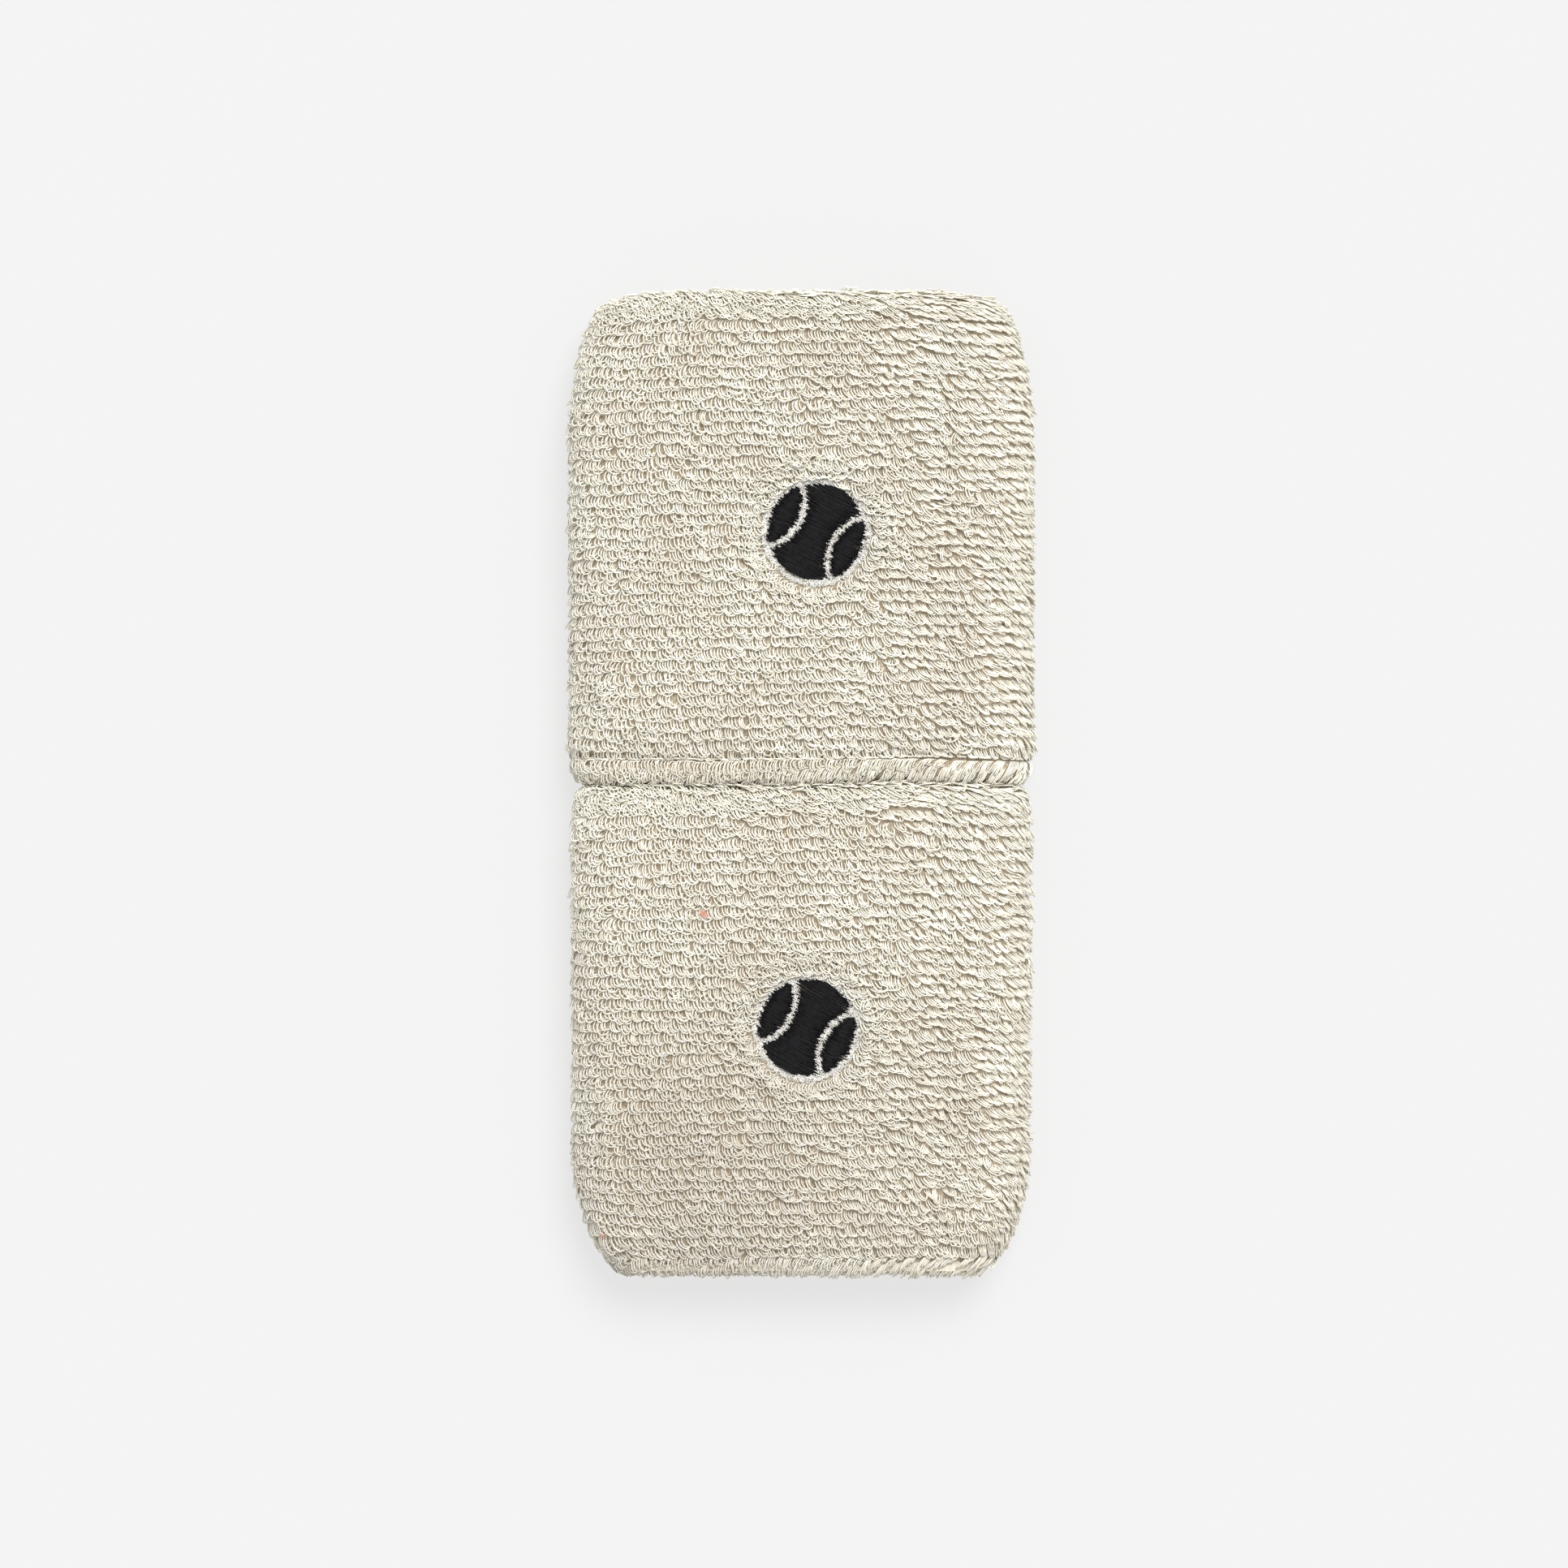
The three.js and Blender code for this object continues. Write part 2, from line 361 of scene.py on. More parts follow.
class Ground:
    """The ground cloth as a surface: places on it by column and by way along the meridian."""

    def __init__(self, band):
        self.points = ground_grid(band)
        self.hem_y = TUBE[band][0].y
        self.round_it = np.roll(self.points, -1, 0) - np.roll(self.points, 1, 0)
        along = np.roll(self.points, -1, 1) - np.roll(self.points, 1, 1)
        self.out = unit(np.cross(self.round_it, along))
        pile_height = bpy.context.scene.wristband_cloth.pile_height
        _, self.distance, (self.hem_end, self.fold_end) = meridian(band, pile_height)
        steps = np.linalg.norm(np.roll(self.points, -1, 1) - self.points, axis=-1)
        self.way = np.concatenate([[0], np.cumsum(steps[FLAT_COLUMNS // 2])])
        self.bend_length = self.way[self.fold_end + BEND_POINTS - 1] - self.way[self.fold_end]

    def sample(self, values, column, place):
        """Values of the grid at fractional columns and places."""
        columns, places = self.points.shape[:2]
        i, j = np.floor(column).astype(int), np.floor(place).astype(int)
        u, v = (column - i)[..., None], (place - j)[..., None]
        i0, i1, j0, j1 = i % columns, (i + 1) % columns, j % places, (j + 1) % places
        near = values[i0, j0] * (1 - u) + values[i1, j0] * u
        far = values[i0, j1] * (1 - u) + values[i1, j1] * u
        return near * (1 - v) + far * v

    def way_of_distance(self, distance):
        """How far along the meridian the outer wall is at this distance from the hem."""
        outer = slice(self.hem_end, self.fold_end + 1)
        return np.interp(distance, self.distance[outer], self.way[outer])

    def locate(self, x, y):
        """The column and the way of the place on the upper side that lies at this x and y."""
        way = self.way_of_distance(y - self.hem_y)
        columns = np.arange(-SIDE_COLUMNS // 2, FLAT_COLUMNS + SIDE_COLUMNS // 2 + 1)
        ring = self.sample(self.points, columns, np.full(len(columns), self.place_at(way)))
        return np.interp(x, ring[:, 0], columns), way

    def place_at(self, way):
        """The place along the meridian that lies this far along it."""
        return np.interp(way % self.way[-1], self.way, np.arange(len(self.way)))

    def row(self, way, span, pitch, rng):
        """The columns of a row's loops, within a span of columns, at this way."""
        dense = np.linspace(*span, ROW_SAMPLES)
        ring = self.sample(self.points, dense, np.full(len(dense), self.place_at(way)))
        steps = np.linalg.norm(np.diff(ring, axis=0), axis=-1)
        steps = steps * np.interp(ring[1:, 0], ACROSS, CROWDING)
        length = np.concatenate([[0], np.cumsum(steps)])
        count = int(length[-1] / pitch)
        order = np.arange(count) + 0.5 + rng.uniform(-ROW_UNEVENNESS, ROW_UNEVENNESS, count)
        pairing = np.interp(np.interp(order / count, (0, 1), ring[[0, -1], 0]), ACROSS, PAIRING)
        order = order + pairing * np.where(np.arange(count) % 2, -1, 1)
        return np.interp(order * length[-1] / count, length, dense)


@functools.lru_cache
def ground_of(band):
    return Ground(band)


WANDER_LENGTHS = (5 * MM, 8 * MM, 13 * MM, 21 * MM)


def unit(vectors):
    return vectors / np.maximum(np.linalg.norm(vectors, axis=-1, keepdims=True), 1e-12)


def wander(x, y, seed):
    """A smooth value between -1 and 1 that wanders over a few millimetres."""
    rng = np.random.default_rng(seed)
    total = 0
    for wavelength in WANDER_LENGTHS:
        angle, phase = rng.uniform(0, 2 * math.pi, 2)
        along = x * math.cos(angle) + y * math.sin(angle)
        total = total + np.sin(2 * math.pi * along / wavelength + phase) / len(WANDER_LENGTHS)
    return total


# ------------------------------------------------------------------ threads
THREAD_END = 0.72  # the radius of a thread's ends, as a share of its middle's
THREAD_SWELL = 0.28  # the rest of that share


def thread_section():
    """The three-sided section that every thread is swept with, of radius 1."""
    if "thread_section" in bpy.data.objects:
        return bpy.data.objects["thread_section"]
    curve = bpy.data.curves.new("thread_section", "CURVE")
    spline = curve.splines.new("POLY")
    spline.points.add(2)
    spline.use_cyclic_u = True
    for i, point in enumerate(spline.points):
        turn = 2 * math.pi * i / 3
        point.co = (math.cos(turn), math.sin(turn), 0, 1)
    return bpy.data.objects.new("thread_section", curve)


def threads(name, paths, radius, finish):
    """Threads along these paths as one mesh object. A path is a row of points, and every path
    has as many. The threads thin out a little towards their ends."""
    curve = bpy.data.curves.new(name, "CURVE")
    curve.dimensions = "3D"
    curve.bevel_mode = "OBJECT"
    curve.bevel_object = thread_section()
    curve.use_fill_caps = True
    count, points = paths.shape[:2]
    places = np.concatenate([paths, np.ones((count, points, 1))], -1).reshape(count, -1)
    swell = np.sin(np.linspace(0, math.pi, points)) ** 0.5
    radii = radius * (THREAD_END + THREAD_SWELL * swell)
    for place in places:
        spline = curve.splines.new("POLY")
        spline.points.add(points - 1)
        spline.points.foreach_set("co", place)
        spline.points.foreach_set("radius", radii)
    swept = bpy.data.objects.new(name, curve)
    bpy.context.scene.collection.objects.link(swept)
    bpy.context.view_layer.update()
    depsgraph = bpy.context.evaluated_depsgraph_get()
    mesh = bpy.data.meshes.new_from_object(swept.evaluated_get(depsgraph))
    bpy.data.objects.remove(swept)
    bpy.data.curves.remove(curve)
    mesh.name = name
    mesh.shade_smooth()
    mesh.materials.clear()
    mesh.materials.append(finish)
    lay_flat_map(mesh)
    piece = bpy.data.objects.new(name, mesh)
    bpy.context.scene.collection.objects.link(piece)
    return piece


def lay_flat_map(mesh):
    """A map that looks straight down on the piece, for a bake of its slowly varying colours."""
    corners = np.zeros(len(mesh.vertices) * 3)
    mesh.vertices.foreach_get("co", corners)
    flat = corners.reshape(-1, 3)[:, :2]
    low, high = flat.min(0), flat.max(0)
    flat = (flat - low) / max(high - low)
    used = np.zeros(len(mesh.loops), dtype=np.int32)
    mesh.loops.foreach_get("vertex_index", used)
    layer = mesh.uv_layers.new(name="OFBake")
    layer.uv.foreach_set("vector", flat[used].ravel())


# ------------------------------------------------------------------ finishes
# how fine the patterns are, in waves per metre
LOOP_GRAIN = 900
AREA_GRAIN = 60
STITCH_GRAIN = 2400
RIB_GRAIN = 800
THREAD_GRAIN = 1500
RIB_DISTORTION = 3
# the grey tint of the painted shade on the lower band's left
PAINTED_SHADE_TINT = (0.81, 0.79, 0.78, 1)


def new_finish(name, roughness, specular, sheen=0.0):
    """A material and its shader, with the values that are the same all over it."""
    material = bpy.data.materials.new(name)
    material.use_nodes = True
    shader = material.node_tree.nodes["Principled BSDF"]
    shader.inputs["Roughness"].default_value = roughness
    shader.inputs["Specular IOR Level"].default_value = specular
    shader.inputs["Sheen Weight"].default_value = sheen
    shader.inputs["Sheen Roughness"].default_value = 0.4
    return material, shader


def noise_mix(material, scale, colours, detail=3.0, spread=(0.35, 0.65)):
    """Two colours mixed by a noise in the piece's own space. scale is in waves per metre."""
    nodes, links = material.node_tree.nodes, material.node_tree.links
    where = nodes.new("ShaderNodeTexCoord")
    pattern = nodes.new("ShaderNodeTexNoise")
    pattern.inputs["Scale"].default_value = scale
    pattern.inputs["Detail"].default_value = detail
    ramp = nodes.new("ShaderNodeValToRGB")
    for element, position, colour in zip(ramp.color_ramp.elements, spread, colours):
        element.position = position
        element.color = (*colour, 1)
    links.new(where.outputs["Object"], pattern.inputs["Vector"])
    links.new(pattern.outputs["Fac"], ramp.inputs["Fac"])
    return ramp.outputs["Color"], pattern.outputs["Fac"]


def soft_patch(material, centre, reach):
    """A value that is 1 at the centre and fades to 0 at this reach from it."""
    nodes, links = material.node_tree.nodes, material.node_tree.links
    where = nodes.new("ShaderNodeTexCoord")
    placed = nodes.new("ShaderNodeMapping")
    placed.inputs["Location"].default_value = [-c / reach for c in centre]
    placed.inputs["Scale"].default_value = [1 / reach] * 3
    fade = nodes.new("ShaderNodeTexGradient")
    fade.gradient_type = "SPHERICAL"
    links.new(where.outputs["Object"], placed.inputs["Vector"])
    links.new(placed.outputs["Vector"], fade.inputs["Vector"])
    return fade.outputs["Fac"]


def add_bump(material, shader, height, strength, distance):
    """Relief on the material from a height value."""
    bump = material.node_tree.nodes.new("ShaderNodeBump")
    bump.inputs["Strength"].default_value = strength
    bump.inputs["Distance"].default_value = distance
    material.node_tree.links.new(height, bump.inputs["Height"])
    material.node_tree.links.new(bump.outputs["Normal"], shader.inputs["Normal"])


def tinted(colour, factor):
    return tuple(channel * f for channel, f in zip(colour, factor))


@functools.lru_cache
def yarn_finish():
    """The pile's cream yarn: it varies from loop to loop, and more slowly over the band. A painted
    shade greys it a little round a spot on the lower band's left.
    """
    cloth = bpy.context.scene.wristband_cloth
    material, shader = new_finish("cream_terry_yarn", roughness=0.5, specular=0.45, sheen=0.2)
    nodes, links = material.node_tree.nodes, material.node_tree.links
    cream = tuple(cloth.yarn_colour)
    shaded = tinted(cream, (0.93, 0.91, 0.86))
    loops, _ = noise_mix(material, LOOP_GRAIN, [shaded, cream], detail=1.0)
    areas, _ = noise_mix(material, AREA_GRAIN, [(0.93, 0.91, 0.9), (1, 1, 1)], detail=2.0)
    mix = nodes.new("ShaderNodeMix")
    mix.data_type = "RGBA"
    mix.blend_type = "MULTIPLY"
    mix.inputs["Factor"].default_value = 1
    links.new(loops, mix.inputs["A"])
    links.new(areas, mix.inputs["B"])
    # painted shade: the yarn colour is multiplied by a grey that fades out from a spot on the
    # lower band's left
    painted_shade = nodes.new("ShaderNodeMix")
    painted_shade.data_type = "RGBA"
    painted_shade.blend_type = "MULTIPLY"
    painted_shade.inputs["B"].default_value = PAINTED_SHADE_TINT
    links.new(soft_patch(material, PAINTED_SHADE_PATCH, PAINTED_SHADE_REACH), painted_shade.inputs["Factor"])
    links.new(mix.outputs["Result"], painted_shade.inputs["A"])
    links.new(painted_shade.outputs["Result"], shader.inputs["Base Color"])
    return material


@functools.lru_cache
def ground_finish():
    """The knitted ground under the pile, with the fine ribs of its stitches. Its tan is darker and
    warmer than the yarn: partly the ground's own tone, partly painted shade for the gaps between
    the loops.
    """
    cloth = bpy.context.scene.wristband_cloth
    material, shader = new_finish("knitted_ground_cloth", roughness=0.9, specular=0.2)
    colour = tuple(cloth.ground_colour_and_painted_shade)
    between = tinted(colour, (0.7, 0.66, 0.6))
    shade, _ = noise_mix(material, STITCH_GRAIN, [between, colour], detail=2.0, spread=(0.4, 0.6))
    material.node_tree.links.new(shade, shader.inputs["Base Color"])
    ribs = material.node_tree.nodes.new("ShaderNodeTexWave")
    ribs.bands_direction = "X"
    ribs.inputs["Scale"].default_value = RIB_GRAIN
    ribs.inputs["Distortion"].default_value = RIB_DISTORTION
    where = next(n for n in material.node_tree.nodes if n.type == "TEX_COORD")
    material.node_tree.links.new(where.outputs["Object"], ribs.inputs["Vector"])
    add_bump(material, shader, ribs.outputs["Fac"], strength=0.9, distance=0.15 * MM)
    return material


@functools.lru_cache
def thread_finish(name, dark, light, roughness, specular, sheen):
    """An embroidery or sewing thread, a little lighter here and there."""
    material, shader = new_finish(name, roughness, specular, sheen)
    shade, height = noise_mix(material, THREAD_GRAIN, [dark, light], detail=2.0, spread=(0.4, 0.6))
    material.node_tree.links.new(shade, shader.inputs["Base Color"])
    add_bump(material, shader, height, strength=0.3, distance=0.05 * MM)
    return material


# ------------------------------------------------------------------ the looped pile
LOOP_TURN = (78, 362)  # degrees round the loop's oval, from its root to where it turns back under

# how the loops lie across a band seen from above, from its left edge to its right edge
ACROSS = np.array([-39, -28, -16, -5, 6, 14, 21, 24, 31, 39]) * MM
LEAN = np.radians([-8, 2, 12, 22, 29, 38, 44, 38, 42, 34])
WIDTH = np.array([1.6, 1.65, 1.65, 1.6, 1.45, 1.15, 0.95, 0.95, 0.9, 0.95]) * MM
LENGTH = np.array([2.4, 2.5, 2.5, 2.5, 2.5, 2.55, 2.6, 2.55, 2.6, 2.4]) * MM
SPREAD = np.array([0.42, 0.42, 0.42, 0.42, 0.41, 0.39, 0.37, 0.37, 0.37, 0.37]) * MM
CROWDING = np.array([1, 1, 1, 1, 1.02, 1.08, 1.15, 1.12, 1.15, 1.1])
PAIRING = np.array([0.08, 0.08, 0.08, 0.1, 0.14, 0.2, 0.24, 0.24, 0.24, 0.24])

# how much the loops differ from each other
STRAY_SHARE = 0.05
LEAN_WANDER = 0.3
LEAN_SEED = 5
LEAN_SPREAD = 0.16
SIDE_LEAN_SPREAD = 0.45
SIDE_STARTS = BAND_HEIGHT - 4 * MM  # below this height the loops are those of a side
SIDE_BLEND = 4 * MM
SIDE_NARROWER = 0.2
WIDTH_RANGE = (0.75, 1.25)
LENGTH_RANGE = (0.82, 1.15)
LOOP_HEIGHT = 1.2 * MM
HEIGHT_RANGE = (0.85, 1.1)
STRAY_HIGHER = 0.3
SPREAD_RANGE = (0.85, 1.2)

# strands in a loop and points along each strand, where the loop shows and where it doesn't
TOP_LOOP = (2, 9)
SIDE_LOOP = (2, 7)
HIDDEN_LOOP = (2, 5)
LIP_LOOP = (4, 9)
ROLL_LOOP = (3, 9)
UNDER_HEM_LOOP = (2, 6)

# how much further apart than the loop pitch the other loops stand
HIDDEN_APART = 1.6
HIDDEN_THICKER = 1.5
LIP_APART = 1.6
ROLL_APART = 1.5
UNDER_HEM_APART = 1.3
ROLL_SHOWN = 0.2  # the share of the hem's bend that belongs to the roll
TOP_PIECES = 4  # the upper side's pile is split, so that no piece is too heavy
PILE_SEED = {"upper": 7, "lower": 8}

# how the plies of one loop lie
PLY_SMALLER = 0.13
PLY_RANGE = (0.88, 1.12)
TIP_LATE = 1.5  # over 1, the loop is highest nearer its tip
ROUNDNESS = 0.8
ROOT_DEPTH = 0.2 * MM
LOOP_TILT = 0.2 * MM

ROW_WAVE = 0.45 * MM
ROW_WAVE_SEED = 11
TUFT_SEED = 17
LIP_STRAIGHT_AT = 30 * MM  # how far to the right the lip's loops are wholly straight
FOLD_REACH = 6 * MM


def loop_style(base, rng):
    """Lean, width, length, height and ply spread of loops rooted at these points."""
    x, y = base[:, 0], base[:, 1]
    count = len(base)
    stray = rng.random(count) < STRAY_SHARE
    lean = np.interp(x, ACROSS, LEAN) + LEAN_WANDER * wander(x, y, LEAN_SEED)
    lean = lean + rng.normal(0, LEAN_SPREAD, count)
    side = np.clip((SIDE_STARTS - base[:, 2]) / SIDE_BLEND, 0, 1)
    lean = lean + stray * rng.uniform(-1, 1, count)
    lean = lean + SIDE_LEAN_SPREAD * side * rng.normal(0, 1, count)
    width = np.interp(x, ACROSS, WIDTH) * rng.uniform(*WIDTH_RANGE, count)
    width = width * (1 - SIDE_NARROWER * side)
    length = np.interp(x, ACROSS, LENGTH) * rng.uniform(*LENGTH_RANGE, count)
    height = LOOP_HEIGHT * rng.uniform(*HEIGHT_RANGE, count) * (1 + STRAY_HIGHER * stray)
    spread = np.interp(x, ACROSS, SPREAD) * rng.uniform(*SPREAD_RANGE, count)
    return lean, width, length, height, spread


def loop_paths(ground, column, way, plies, points, style, rng):
    """The plies of loops rooted at these columns and ways of the ground. Each rises, falls over
    towards the hem along the curve of the cloth, and turns back under its neighbour."""
    lean, width, length, height, spread = (np.asarray(value)[:, None] for value in style)
    place = ground.place_at(way)
    cell = np.linalg.norm(ground.sample(ground.round_it, column, place), axis=-1)[:, None] / 2
    turn = np.radians(np.linspace(*LOOP_TURN, points))[None, :]
    along = np.linspace(0, 1, points) ** TIP_LATE
    rise = np.clip(np.sin(math.pi * along), 0, 1)[None, :] ** ROUNDNESS
    made = []
    for ply in range(plies):
        size = (1 - PLY_SMALLER * ply) * rng.uniform(*PLY_RANGE, lean.shape)
        sideways = width * size * np.cos(turn) / 2
        tipward = length * size * (1 - np.sin(turn)) / 2
        across = sideways * np.cos(lean) + tipward * np.sin(lean)
        down = tipward * np.cos(lean) - sideways * np.sin(lean)
        across = across + spread * (ply - (plies - 1) / 2)
        above = height * size * rise - ROOT_DEPTH - LOOP_TILT * np.cos(turn) * rise
        columns = column[:, None] + across / cell
        places = ground.place_at(way[:, None] - down)
        out = unit(ground.sample(ground.out, columns, places))
        made.append(ground.sample(ground.points, columns, places) + out * above[..., None])
    return np.concatenate(made)


EMBLEM_OVERLAP = 0.3 * MM  # how far a loop's tip may reach over the embroidery
EMBLEM_GAP = 0.2 * MM  # how far off the embroidery the nearest loop is rooted
SHORTEST_LOOP = 0.6 * MM
EMBLEM_RINGS = ((0.6 * MM, 0.85 * MM), (1.5 * MM, 1.0 * MM))  # distances out, and pitches
RING_UNEVENNESS = 0.3
RING_DOWNWARD = 0.45  # how much the loops of a ring still fall towards the hem
RING_LEAN_SPREAD = 0.35
RING_SHORTER = 0.75
RING_HIGHER = 1.05


def clear_of_emblem(band, base, style):
    """Which loops are rooted clear of the embroidery. Those just above it are shortened, so
    that they stop at its edge."""
    low, high = EMBLEM[band]
    centre, radius = (low + high) / 2, (high.x - low.x) / 2
    lean, width, length, height, spread = style
    offset = base[:, :2] - np.array(centre[:2])
    beyond = (offset**2).sum(-1) - (radius - EMBLEM_OVERLAP) ** 2
    toward = (offset * np.stack([np.sin(lean), -np.cos(lean)], -1)).sum(-1)
    meets = (toward < 0) & (toward**2 > beyond) & (base[:, 2] > END_RADIUS)
    stop = -toward - np.sqrt(np.clip(toward**2 - beyond, 0, None))
    length = np.where(meets, np.clip(stop, SHORTEST_LOOP, length), length)
    outside = (np.hypot(*offset.T) > radius + EMBLEM_GAP) | (base[:, 2] < END_RADIUS)
    return outside, (lean, width, length, height, spread)


def ring_paths(band, rng):
    """Loops that stand up round the embroidery and lean away from it."""
    ground = ground_of(band)
    low, high = EMBLEM[band]
    centre, radius = (low + high) / 2, (high.x - low.x) / 2
    made = []
    for out, pitch in EMBLEM_RINGS:
        count = int(2 * math.pi * (radius + out) / pitch)
        uneven = rng.uniform(-RING_UNEVENNESS, RING_UNEVENNESS, count)
        turn = (np.arange(count) + uneven) * 2 * math.pi / count
        x = centre.x + (radius + out) * np.cos(turn)
        y = centre.y + (radius + out) * np.sin(turn)
        column, way = np.array([ground.locate(*spot) for spot in zip(x, y)]).T
        base = ground.sample(ground.points, column, ground.place_at(way))
        _, width, length, height, spread = loop_style(base, rng)
        away = np.stack([np.cos(turn), np.sin(turn) - RING_DOWNWARD], -1)
        lean = np.arctan2(away[:, 0], -away[:, 1]) + rng.normal(0, RING_LEAN_SPREAD, count)
        style = (lean, width, length * RING_SHORTER, height * RING_HIGHER, spread)
        made.append(loop_paths(ground, column, way, *TOP_LOOP, style, rng))
    return np.concatenate(made)


FIRST_ROW = 2.0 * MM  # from the seam's groove to the first row
MOUTH_PILE = 12 * MM  # how far the pile runs into a band's mouths
FOLD_ROWS_FROM = 2 * MM  # the rows lie twice as close from here before the fold
LIP_TO_ROLL = 1.4 * MM


def row_ways(band, ground):
    """Where the rows of loops lie along the meridian: those from the groove over the outside
    and the fold into the mouth, those down the hem's roll into the other mouth, and the lip's."""
    cloth = bpy.context.scene.wristband_cloth
    groove = ground.way_of_distance(GROOVE_AT)
    fold_bend = ground.way[ground.fold_end]
    inside_end = fold_bend + ground.bend_length + MOUTH_PILE
    outside = np.arange(groove + FIRST_ROW, inside_end, cloth.row_pitch)
    over_fold = (outside > fold_bend - FOLD_ROWS_FROM) & (outside < fold_bend + ground.bend_length)
    outside = np.sort(np.concatenate([outside, outside[over_fold] + cloth.row_pitch / 2]))
    lip = groove + LIP_FROM_GROOVE[band]
    hem = np.arange(lip - LIP_TO_ROLL, -MOUTH_PILE, -cloth.row_pitch)
    return outside, hem, [lip]


def pile_rows(band, ways, span, pitch, plies, points, rng, restyle=None):
    """All loops of these rows, within a span of columns, each of so many plies and points."""
    ground = ground_of(band)
    made = []
    for way in ways:
        column = ground.row(way, span, pitch, rng)
        middle = ground.sample(ground.points, column, np.full(len(column), ground.place_at(way)))
        wave = ROW_WAVE * wander(middle[:, 0] / 2, middle[:, 1] / 2, ROW_WAVE_SEED)
        base = ground.sample(ground.points, column, ground.place_at(way + wave))
        style = loop_style(base, rng)
        if restyle:
            style = restyle(base, style)
        kept, style = clear_of_emblem(band, base, style)
        style = tuple(value[kept] for value in style)
        roots = (way + wave)[kept]
        made.append(loop_paths(ground, column[kept], roots, plies, points, style, rng))
    return np.concatenate(made)


def restyled(style, keep_lean=1, turn=0, width=1, length=1, height=1, spread=1):
    """A style whose lean is kept in part and turned, and whose other values are multiplied."""
    old_lean, old_width, old_length, old_height, old_spread = style
    return (
        old_lean * keep_lean + turn,
        old_width * width,
        old_length * length,
        old_height * height,
        old_spread * spread,
    )


def at_fold(band):
    """A change of style for the loops that come over the fold: they slant more."""
    fold = TUBE[band][1].y

    def restyle(base, style):
        near = np.clip(1 - (fold - base[:, 1]) / FOLD_REACH, 0, 1)
        turn = np.radians(18) * near
        return restyled(style, turn=turn, width=1 - 0.15 * near, length=1 + 0.1 * near)

    return restyle


def on_lip(band):
    """A change of style for the long bundles of loops that hang over the hem: straight ones, but
    round ones on the left of the upper band."""

    def restyle(base, style):
        straight = np.clip(base[:, 0] / LIP_STRAIGHT_AT, -1, 1) if band == "upper" else 1
        tufts = wander(base[:, 0] * 3, base[:, 1], TUFT_SEED)
        lean, *others = restyled(
            style,
            keep_lean=0.15,
            turn=-np.radians(44),
            width=1.0 - 0.3 * straight,
            length=1.15 + 0.2 * tufts,
            height=1.15 + 0.3 * tufts,
            spread=0.75 - 0.1 * straight,
        )
        return (lean + 0.25 * tufts, *others)

    return restyle


def on_roll(base, style):
    """The style of the loops on the roll of the hem: straight strands that slant to the left."""
    turn = -np.radians(40)
    return restyled(
        style, keep_lean=0.3, turn=turn, width=0.65, length=1.05, height=0.9, spread=0.75
    )


# ------------------------------------------------------------------ the emblem: a ball
EMBLEM_TURN = math.radians(-28)
HALO = 1 * MM  # how far the underlay stitches show round the ball
# the ball's two seams are arcs, in radii of the ball
SEAM_CENTRE = 10.6 / 8
SEAM_RADIUS = 7.4 / 8
SEAM_HALF_WIDTH = 0.4 / 8

SATIN_PITCH = 0.19 * MM
SATIN_RADIUS = 0.155 * MM
SATIN_TOP = 0.05 * MM
SATIN_UNEVENNESS = 0.15  # in pitches
SATIN_LEAST = 3  # a stitch shorter than so many pitches is left out
SATIN_POINTS = 8
SATIN_ENDS = (-0.25, 0.4)  # how far in and out a stitch may end, in millimetres
SATIN_SKEW = 0.12 * MM
SATIN_SINK = 0.08  # how much lower a stitch may lie than the next, in millimetres
SATIN_CROWN = 0.4
SATIN_DIVE = 0.75 * MM
SATIN_SEED = {"upper": 21, "lower": 22}

UNDERLAY_TOP = 0.6 * MM
UNDERLAY_COUNT = 6500
UNDERLAY_RADIUS = 0.065 * MM
UNDERLAY_POINTS = 5
UNDERLAY_REACH = (0.25, 0.6)  # half a stitch's length, in millimetres
UNDERLAY_BOW = 0.12  # in millimetres
UNDERLAY_SINK = 0.25  # in millimetres
UNDERLAY_DIVE = 0.3 * MM
COVERED_MARGIN = 0.5 * MM  # how far under the satin the underlay runs


def emblem_frame(band):
    """The ball's centre, its radius, and its own two axes on the band."""
    low, high = EMBLEM[band]
    centre = np.array(((low + high) / 2)[:2])
    radius = (high.x - low.x) / 2 - HALO
    right = np.array([math.cos(EMBLEM_TURN), math.sin(EMBLEM_TURN)])
    up = np.array([-right[1], right[0]])
    return centre, radius, right, up


def field_spans(field, level):
    """The ends of a field's stitches at this level of a ball of radius 1."""
    edge = np.sqrt(np.clip(1 - level**2, 0, 1))
    inner = np.sqrt(np.clip((SEAM_RADIUS - SEAM_HALF_WIDTH) ** 2 - level**2, 0, 1))
    outer = np.sqrt(np.clip((SEAM_RADIUS + SEAM_HALF_WIDTH) ** 2 - level**2, 0, 1))
    if field == "middle":
        reach = np.where(outer > 0, np.minimum(edge, SEAM_CENTRE - outer), edge)
        return -reach, reach
    side = SEAM_CENTRE - inner
    if field == "left":
        return -edge, -side
    return side, edge


